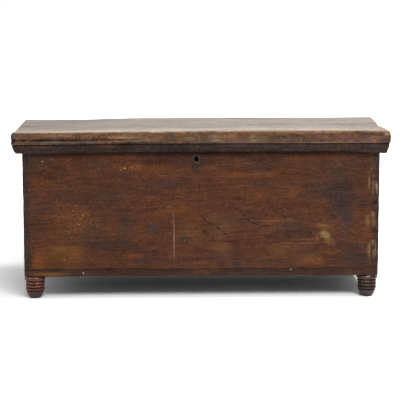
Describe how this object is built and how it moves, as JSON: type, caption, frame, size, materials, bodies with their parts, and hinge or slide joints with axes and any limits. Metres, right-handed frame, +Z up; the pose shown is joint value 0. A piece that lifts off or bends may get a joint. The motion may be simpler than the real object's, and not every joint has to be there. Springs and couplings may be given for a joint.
{
  "type": "blanket chest",
  "caption": "Low dovetailed wooden storage chest on turned feet, with a hinged board lid, a moulding below the lid, a lock behind the keyhole and an open till inside.",
  "frame": {"origin": "on the floor, under the middle of the lid", "axes": "+Z up, front faces -Y, +X to the right seen from the front"},
  "size_m": [1.182, 0.438, 0.5368],
  "materials": {
    "front_back_pine": "old pine board, brown stain and wax, worn and marked",
    "end_pine": "old pine board, brown stain and wax",
    "bottom_pine": "old pine board, waxed edge, raw underside",
    "turned_wood": "turned hardwood, red-brown polish",
    "inner_pine": "unfinished pine, dusty and aged",
    "lid_pine": "old pine board, worn bare and waxed",
    "moulding_wood": "dark stained moulding, waxed",
    "escutcheon_iron": "dull grey worn metal",
    "lock_iron": "wrought iron plate, dark and lightly rusted",
    "lock_steel": "filed steel, oiled",
    "hinge_iron": "forged iron, dark and lightly rusted",
    "fastener_iron": "dark iron"
  },
  "bodies": {
    "case": {"front_board": "front_back_pine", "back_board": "front_back_pine", "left_end_board": "end_pine", "right_end_board": "end_pine", "bottom_board_front": "bottom_pine", "bottom_board_rear": "bottom_pine", "bottom_nails": "fastener_iron", "foot_front_left": "turned_wood", "foot_front_right": "turned_wood", "foot_rear_left": "turned_wood", "foot_rear_right": "turned_wood", "till_side": "inner_pine", "till_bottom": "inner_pine", "escutcheon": "escutcheon_iron", "lock_plate": "lock_iron", "lock_case": "lock_iron", "lock_spring": "lock_steel", "lock_key_pin": "lock_iron", "lock_stump": "lock_iron", "lock_screws": "fastener_iron", "hinge_leaf_left": "hinge_iron", "hinge_leaf_right": "hinge_iron", "hinge_pin_left": "hinge_iron", "hinge_pin_right": "hinge_iron", "hinge_leaf_screws": "fastener_iron"},
    "lock_bolt_bar": {"lock_bolt": "lock_steel"},
    "lid": {"lid_board_front": "lid_pine", "lid_board_rear": "lid_pine", "lid_moulding_front": "moulding_wood", "lid_moulding_left": "moulding_wood", "lid_moulding_right": "moulding_wood", "moulding_nails": "fastener_iron", "batten_left": "inner_pine", "batten_right": "inner_pine", "batten_screws": "fastener_iron", "hinge_strap_left": "hinge_iron", "hinge_strap_right": "hinge_iron", "hinge_strap_screws": "fastener_iron", "link_plate": "lock_iron", "link_staple": "lock_iron", "link_screws": "fastener_iron"}
  },
  "joints": [
    {"name": "lid_hinge", "type": "hinge", "parent": "case", "child": "lid", "pos_m": [0, 0.207, 0.4908], "axis": [-1, 0, 0], "range_deg": [0, 120]},
    {"name": "lock_bolt_slide", "type": "slide", "parent": "case", "child": "lock_bolt_bar", "axis": [1, 0, 0], "range_m": [0, 0.009]}
  ]
}
